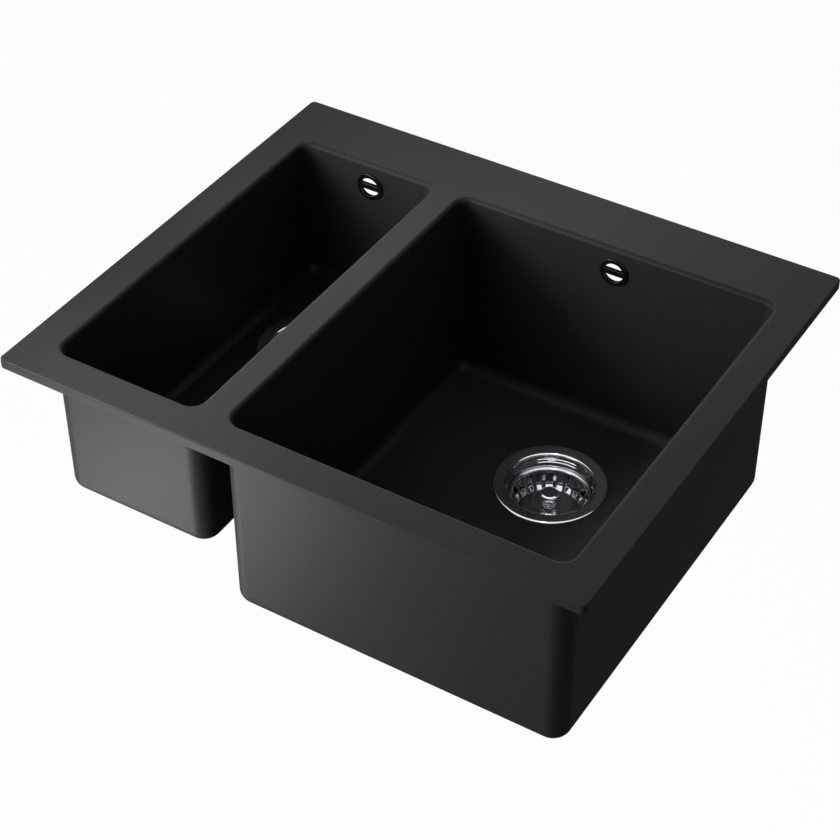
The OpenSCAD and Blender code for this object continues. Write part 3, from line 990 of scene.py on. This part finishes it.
def stoneComposite():
    look = stoneLook
    material, shade = newMaterial("stoneComposite")
    place = shade.place()
    dust = place.noise(look["dustSize"], detail=3, roughness=0.6).ramp(*look["dustRamp"])
    cloud = place.noise(look["cloudSize"], detail=2)
    ground = dust.mixed(cloud, look["dustShare"]).tint(look["resin"], look["dust"])
    grit = place.cells(look["gritSize"]).ramp(*look["gritRamp"])
    rare = place.noise(look["rareSize"], detail=1).ramp(*look["rareRamp"])
    colour = shade.node("ShaderNodeMix", {"data_type": "RGBA"},
                        {0: grit * rare * look["gritShare"], 6: ground, 7: (*look["grit"], 1)}, 2)
    grain = place.noise(look["grainSize"], detail=4, roughness=0.65)
    setShader(material, BaseColor=colour,
              Roughness=grain.mixed(cloud, look["grainShare"]).between(*look["roughness"]),
              SpecularIORLevel=look["reflection"], Normal=grain.bump(look["grainDepth"], strength=0.5))
    return material


steelLook = dict(
    colour=(0.83, 0.84, 0.86),
    dullColour=(0.74, 0.75, 0.775),
    turningMarks=0.5 * mm,
    markDepth=0.0015 * mm,
    wipeSize=14 * mm,
    wipeShare=0.6,
    roughness=(0.03, 0.09),
)


def polishedSteel(name, centre):
    # Polished on a lathe: hardly visible rings round the piece's own axis, and faint wipe marks
    look = steelLook
    material, shade = newMaterial(name)
    place = shade.place().moved(centre)
    radius, height = place.radiusAndHeight()
    profile = shade.node("ShaderNodeCombineXYZ", {}, {"X": radius, "Y": height})
    rings = profile.noise(look["turningMarks"], detail=3)
    wipes = place.noise(look["wipeSize"], detail=4, roughness=0.6)
    setShader(material, BaseColor=wipes.tint(look["colour"], look["dullColour"]), Metallic=1.0,
              Roughness=wipes.mixed(rings, look["wipeShare"]).between(*look["roughness"]),
              Normal=rings.bump(look["markDepth"], strength=0.3))
    return material


sheetLook = dict(
    colour=(0.8, 0.81, 0.83),
    dullColour=(0.7, 0.71, 0.73),
    dullSize=8 * mm,
    grainSize=0.25 * mm,
    grainDepth=0.002 * mm,
    dullShare=0.7,
    tubeDrawn=(1, 1, 0.05),  # the grain of a tube runs along it
    roughness=(0.06, 0.15),
)


def pressedSteel(name, stretch=(1, 1, 1)):
    # Bright sheet or tube, its grain drawn out along the pressing
    look = sheetLook
    material, shade = newMaterial(name)
    place = shade.place()
    dull = place.noise(look["dullSize"], detail=4, roughness=0.6)
    grain = place.moved(stretch=stretch).noise(look["grainSize"], detail=3)
    setShader(material, BaseColor=dull.tint(look["colour"], look["dullColour"]), Metallic=1.0,
              Roughness=dull.mixed(grain, look["dullShare"]).between(*look["roughness"]),
              Normal=grain.bump(look["grainDepth"], strength=0.35))
    return material


basketLook = dict(
    coating=(0.006, 0.006, 0.0064),  # painted dark reflection: black over the basket's floor, standing in for its reflection of the dark bowl walls
    # specks within the painted dark reflection
    coatingWear=(0.014, 0.014, 0.015),
    coatingRoughness=0.34,
    coatedBelow=37.55 * mm,          # depth at which the painted dark reflection begins
    coatMargin=0.1 * mm,             # how far it reaches below the floor's upper face
    speckSize=0.7 * mm,
)


def basketSteelWithPaintedReflection(name, centre):
    # Polished sheet whose floor is painted black, a painted dark reflection of the bowl walls
    look, steel = basketLook, sheetLook
    material, shade = newMaterial(name)
    place = shade.place().moved(centre)
    radius, height = place.radiusAndHeight()
    dull = place.noise(steel["dullSize"], detail=4, roughness=0.6)
    # mask of the floor's upper face, which gets the painted dark reflection
    onTop = height.maths("GREATER_THAN", -basketSizes["floorDepth"] - look["coatMargin"])
    onFloor = height.maths("LESS_THAN", -look["coatedBelow"]) * onTop
    paintedDarkReflectionMask = onFloor * radius.maths("LESS_THAN", basketSizes["wallFloor"])
    paintedDarkReflectionSpeckColour = place.noise(look["speckSize"], detail=3).tint(look["coating"], look["coatingWear"])
    colour = shade.node("ShaderNodeMix", {"data_type": "RGBA"},
                        {0: paintedDarkReflectionMask, 6: dull.tint(steel["colour"], steel["dullColour"]), 7: paintedDarkReflectionSpeckColour}, 2)
    rough = dull.between(*steel["roughness"]) * (1 - paintedDarkReflectionMask) + paintedDarkReflectionMask * look["coatingRoughness"]
    setShader(material, BaseColor=colour, Metallic=1 - paintedDarkReflectionMask, Roughness=rough,
              Normal=dull.bump(steel["grainDepth"], strength=0.3))
    return material


coverLook = dict(
    colour=(0.003, 0.003, 0.0032),
    dust=(0.006, 0.006, 0.0064),
    rippleSize=1.6 * mm,
    rippleDepth=0.01 * mm,
    hazeSize=8 * mm,
    roughness=(0.2, 0.34),
    reflection=0.2,
)


def coverPlastic():
    look = coverLook
    material, shade = newMaterial("coverPlastic")
    place = shade.place()
    ripple = place.noise(look["rippleSize"], detail=2)
    haze = place.noise(look["hazeSize"], detail=3)
    setShader(material, BaseColor=haze.tint(look["colour"], look["dust"]),
              Roughness=haze.between(*look["roughness"]), SpecularIORLevel=look["reflection"],
              Normal=ripple.bump(look["rippleDepth"], strength=0.4))
    return material


softLook = dict(
    rubber=((0.014, 0.014, 0.015), (0.03, 0.03, 0.031)),
    rubberGrain=0.5 * mm,
    rubberDepth=0.03 * mm,
    rubberBloom=10 * mm,
    rubberRoughness=(0.6, 0.8),
    foam=((0.02, 0.02, 0.021), (0.05, 0.05, 0.05)),
    foamCell=0.8 * mm,
    foamDepth=0.25 * mm,
    foamRoughness=(0.85, 0.98),
    fibre=((0.42, 0.31, 0.17), (0.56, 0.45, 0.28)),
    fibreWidth=0.35 * mm,
    fibreDepth=0.06 * mm,
    fibreDrawn=0.15,          # how much finer a fibre's pattern is across than along
    fibreRamp=((0.4, 0), (0.7, 1)),
    fibreRoughness=(0.8, 0.95),
)


def rubber():
    look = softLook
    material, shade = newMaterial("rubber")
    place = shade.place()
    grain = place.noise(look["rubberGrain"], detail=3)
    bloom = place.noise(look["rubberBloom"], detail=3)
    setShader(material, BaseColor=bloom.tint(*look["rubber"]),
              Roughness=bloom.between(*look["rubberRoughness"]),
              Normal=grain.bump(look["rubberDepth"], strength=0.5))
    return material


def foam():
    look = softLook
    material, shade = newMaterial("foam")
    cells = shade.place().cells(look["foamCell"])
    setShader(material, BaseColor=cells.tint(*look["foam"]), Roughness=cells.between(*look["foamRoughness"]),
              Normal=(1 - cells).bump(look["foamDepth"], strength=0.8))
    return material


def pressedFibre():
    look = softLook
    material, shade = newMaterial("pressedFibre")
    place = shade.place()
    drawn = look["fibreDrawn"]
    along = place.moved(stretch=(drawn, 1, 1)).noise(look["fibreWidth"], detail=3)
    across = place.moved(stretch=(1, drawn, 1)).noise(look["fibreWidth"], detail=3)
    fibres = along.maths("MAXIMUM", across)
    setShader(material, BaseColor=fibres.ramp(*look["fibreRamp"]).tint(*look["fibre"]),
              Roughness=fibres.between(*look["fibreRoughness"]),
              Normal=fibres.bump(look["fibreDepth"], strength=0.7))
    return material


plasticLook = dict(
    nut=((0.8, 0.79, 0.76), (0.72, 0.71, 0.675)),
    nutGrain=0.3 * mm,
    nutDepth=0.02 * mm,
    nutFlow=18 * mm,
    nutShare=0.5,
    nutRoughness=(0.38, 0.55),
    washer=((0.74, 0.76, 0.76), (0.66, 0.68, 0.68)),
    washerFlow=9 * mm,
    washerRoughness=(0.28, 0.42),
    washerScatter=0.2,
)


def nutPlastic():
    look = plasticLook
    material, shade = newMaterial("nutPlastic")
    place = shade.place()
    grain = place.noise(look["nutGrain"], detail=2)
    flow = place.noise(look["nutFlow"], detail=3)
    setShader(material, BaseColor=flow.tint(*look["nut"]),
              Roughness=grain.mixed(flow, look["nutShare"]).between(*look["nutRoughness"]),
              Normal=grain.bump(look["nutDepth"], strength=0.4))
    return material


def washerPlastic():
    look = plasticLook
    material, shade = newMaterial("washerPlastic")
    flow = shade.place().noise(look["washerFlow"], detail=3)
    setShader(material, BaseColor=flow.tint(*look["washer"]),
              Roughness=flow.between(*look["washerRoughness"]),
              SubsurfaceWeight=look["washerScatter"], Normal=flow.bump(look["nutDepth"], strength=0.3))
    return material


# Dressing: each piece gets its material, rides on its body and stands for its solid

bodyOf = {node: body for body, nodes in frame["record"]["behaviour"]["bodies"].items() for node in nodes}
materialSlotOf = {part["node"]: part["material_slot"] for part in frame["record"]["subparts"]}


def dressAs(piece, node, material):
    dress(piece, material, bodyOf[node], materialSlotOf[node], node)


dressAs(sink, "sink_body", stoneComposite())
dressAs(strip, "rim_foam_strip", foam())
rubberLook, fibreLook, nutLook, washerLook = rubber(), pressedFibre(), nutPlastic(), washerPlastic()
sheetSteel, tubeSteel = pressedSteel("sheetSteel"), pressedSteel("tubeSteel", sheetLook["tubeDrawn"])
blackPlastic = coverPlastic()
for name in wasteNames:
    bright = polishedSteel(name + "PolishedSteel", wasteAt[name])
    basketSheetWithPaintedReflection = basketSteelWithPaintedReflection(name + "BasketSteel", wasteAt[name])
    looks = {
        "strainer_cup": bright,
        "flange_gasket": rubberLook,
        "floor_washer": rubberLook,
        "friction_ring": fibreLook,
        "lock_nut": nutLook,
        "outlet_washer": washerLook,
        "tail_pipe": tubeSteel,
        "coupling_nut": nutLook,
        "basket": basketSheetWithPaintedReflection,
        "basket_post": bright,
        "basket_stopper": rubberLook,
        "basket_stem": sheetSteel,
    }
    for part, material in looks.items():
        piece = copyTo(models[part], name + part.title().replace("_", ""), wasteAt[name])
        dressAs(piece, name + "_" + part, material)
    node = name + "_overflow_cover"
    low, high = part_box(node)
    piece = copyTo(cover, name + "OverflowCover", ((low.x + high.x) / 2, low.y + coverSizes["bezelHeight"],
                                                    (low.z + high.z) / 2))
    dressAs(piece, node, blackPlastic)
for piece in list(models.values()) + [cover]:
    bpy.data.objects.remove(piece)
print("pieces dressed")


# Floor, light and camera

studio = dict(
    floorLevel=-870 * mm,    # the cabinet's floor under a worktop
    floorSize=12,
    floorWhite=0.97,         # how far the floor is white to the camera
    skyMirrored=1,           # brightness of the sky and of the floor to the faces that mirror them
    floorMirrored=0.1,
    floorColours=((0.86, 0.86, 0.86), (0.84, 0.84, 0.84)),
    floorMottle=0.4,
    floorRoughness=0.8,
)
sideAim = (-0.25, -0.2, -0.05)
wideAim = (0, -0.03, -0.05)
# each lamp's place, aim, side length, spread in degrees and power
lamps = dict(
    underLeft=((-0.34, -0.5, -0.35), (-0.26, -0.2, -0.1), 0.25, 180, 2.6),
    frontLeft=((-0.5, -0.7, 0.15), sideAim, 0.3, 180, 4.2),
    nearLeft=((-0.75, -0.5, 0.42), sideAim, 0.3, 180, 3),
    overRidge=((-0.7, -0.3, 0.6), (-0.1, -0.2, 0), 0.15, 30, 0.45),
    overLeft=((-0.75, 0.05, 0.55), (-0.09, 0.05, 0), 0.15, 24, 0.24),
    overBowl=((0.03, 0, 1), (0.03, 0.1, -0.2), 0.1, 20, 0.025),
    farFront=((-1.03, -2.21, 0.89), wideAim, 1.4, 180, 28),
    farLeft=((-1.83, -1.83, 0.23), wideAim, 1.4, 180, 4.5),
    highBack=((-0.49, 1.04, 0.61), (0, 0, 0), 0.5, 180, 1.7),
    back=((-0.22, 1.24, 0.34), (0, 0, 0), 0.5, 180, 1.3),
)


def rayKinds(shade):
    return [shade.node("ShaderNodeLightPath", output=name)
            for name in ("Is Camera Ray", "Is Glossy Ray", "Is Transmission Ray")]


def studioFloor():
    s = studio
    bpy.ops.object.select_all(action="DESELECT")
    bpy.ops.mesh.primitive_plane_add(size=s["floorSize"], location=(0, 0, s["floorLevel"]))
    floor = bpy.context.active_object
    floor.name = "studioFloor"
    settle(floor)
    material, shade = newMaterial("paleFloor")
    mottle = shade.place().noise(s["floorMottle"], detail=2)
    setShader(material, BaseColor=mottle.tint(*s["floorColours"]), Roughness=s["floorRoughness"])
    tree = material.node_tree
    camera, glossy, through = rayKinds(shade)
    strength = glossy.between(1, s["floorMirrored"])
    white = shade.node("ShaderNodeEmission", {}, {"Color": (1, 1, 1, 1), "Strength": strength})
    seen = (camera * s["floorWhite"]).maths("MAXIMUM", through * s["floorWhite"]).maths("MAXIMUM", glossy)
    shader = Shade(tree, tree.nodes["Principled BSDF"].outputs[0])
    mixed = shade.node("ShaderNodeMixShader", {}, {0: seen, 1: shader, 2: white})
    tree.links.new(mixed.socket, tree.nodes["Material Output"].inputs["Surface"])
    floor.data.materials.append(material)


def studioWorld():
    # White to what sees or mirrors it, and no light of its own on the object
    world = bpy.data.worlds.new("studioWorld")
    bpy.context.scene.world = world
    world.use_nodes = True
    tree = world.node_tree
    background = tree.nodes["Background"]
    background.inputs["Color"].default_value = (1, 1, 1, 1)
    camera, glossy, through = rayKinds(Shade(tree))
    strength = camera.maths("MAXIMUM", through).maths("MAXIMUM", glossy * studio["skyMirrored"])
    tree.links.new(strength.socket, background.inputs["Strength"])


def softLamp(name, place, aim, size, spread, power):
    bpy.ops.object.select_all(action="DESELECT")
    bpy.ops.object.light_add(type="AREA", location=place)
    lamp = bpy.context.active_object
    lamp.name = name + "Lamp"
    lamp.rotation_euler = (Vector(aim) - Vector(place)).to_track_quat("-Z", "Y").to_euler()
    lamp.data.size = size
    lamp.data.spread = math.radians(spread)
    lamp.data.energy = power
    lamp.visible_camera = False


photoView = dict(
    place=(0.79345, -1.29301, 1.18569),
    turn=(49.446, 0.186, 31.712),  # degrees
    lens=90.7,
    sensor=36,
)


def photoCamera():
    s = photoView
    bpy.ops.object.select_all(action="DESELECT")
    bpy.ops.object.camera_add(location=s["place"], rotation=[math.radians(angle) for angle in s["turn"]])
    camera = bpy.context.active_object
    camera.name = "photoCamera"
    camera.data.lens = s["lens"]
    camera.data.sensor_width = s["sensor"]
    bpy.context.scene.camera = camera


studioFloor()
studioWorld()
for name, (place, aim, size, spread, power) in lamps.items():
    softLamp(name, place, aim, size, spread, power)
photoCamera()
bpy.context.scene.view_settings.view_transform = "Standard"
print("floor, light and camera placed")
